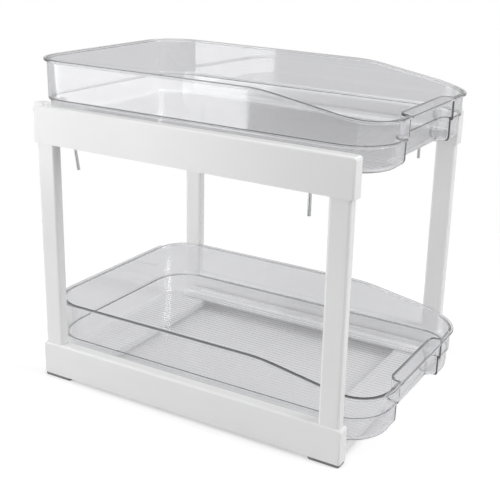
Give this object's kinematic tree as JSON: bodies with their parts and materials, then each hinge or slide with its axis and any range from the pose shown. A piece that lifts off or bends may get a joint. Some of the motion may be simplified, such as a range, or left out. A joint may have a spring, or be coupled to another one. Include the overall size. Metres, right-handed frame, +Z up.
{
  "type": "under sink organizer",
  "caption": "Free-standing two-level organizer: a white plastic frame carries clear trays that slide out to the front, with small wire hooks under the upper rails.",
  "frame": {"origin": "on the floor, under the middle of the whole object seen from above, trays included", "axes": "+X to the right, -Y to the front, where the trays slide out and have their finger pulls, +Z up; +Y is the longest extent"},
  "size_m": [0.26, 0.387, 0.3237],
  "materials": {
    "frame_plastic": "white moulded plastic with a soft gloss",
    "clear_plastic": "clear moulded plastic, polished",
    "foot_rubber": "grey soft rubber",
    "hook_wire": "chrome-plated round wire"
  },
  "bodies": {
    "frame": {"rail_lower_left": "frame_plastic", "rail_lower_right": "frame_plastic", "rail_upper_left": "frame_plastic", "rail_upper_right": "frame_plastic", "post_front_left": "frame_plastic", "post_front_right": "frame_plastic", "post_rear_left": "frame_plastic", "post_rear_right": "frame_plastic", "crossbar_front": "frame_plastic", "crossbar_rear": "frame_plastic", "foot_front_left": "foot_rubber", "foot_front_right": "foot_rubber", "foot_rear_left": "foot_rubber", "foot_rear_right": "foot_rubber"},
    "upper_tray": {"tray_upper": "clear_plastic"},
    "lower_tray": {"tray_lower": "clear_plastic"},
    "front_left_hook": {"hook_front_left": "hook_wire"},
    "front_right_hook": {"hook_front_right": "hook_wire"},
    "rear_left_hook": {"hook_rear_left": "hook_wire"},
    "rear_right_hook": {"hook_rear_right": "hook_wire"}
  },
  "joints": [
    {"name": "upper_tray_slide", "type": "slide", "parent": "frame", "child": "upper_tray", "axis": [0, -1, 0], "range_m": [-0.017, 0.159]},
    {"name": "lower_tray_slide", "type": "slide", "parent": "frame", "child": "lower_tray", "axis": [0, -1, 0], "range_m": [-0.026, 0.15]},
    {"name": "front_left_hook_swing", "type": "hinge", "parent": "frame", "child": "front_left_hook", "pos_m": [-0.11, -0.124, 0.255], "axis": [1, 0, 0], "range_deg": [-25, 90]},
    {"name": "front_right_hook_swing", "type": "hinge", "parent": "frame", "child": "front_right_hook", "pos_m": [0.11, -0.124, 0.255], "axis": [1, 0, 0], "range_deg": [-25, 90]},
    {"name": "rear_left_hook_swing", "type": "hinge", "parent": "frame", "child": "rear_left_hook", "pos_m": [-0.11, 0.129, 0.255], "axis": [1, 0, 0], "range_deg": [-80, 35]},
    {"name": "rear_right_hook_swing", "type": "hinge", "parent": "frame", "child": "rear_right_hook", "pos_m": [0.11, 0.129, 0.255], "axis": [1, 0, 0], "range_deg": [-90, 25]}
  ]
}
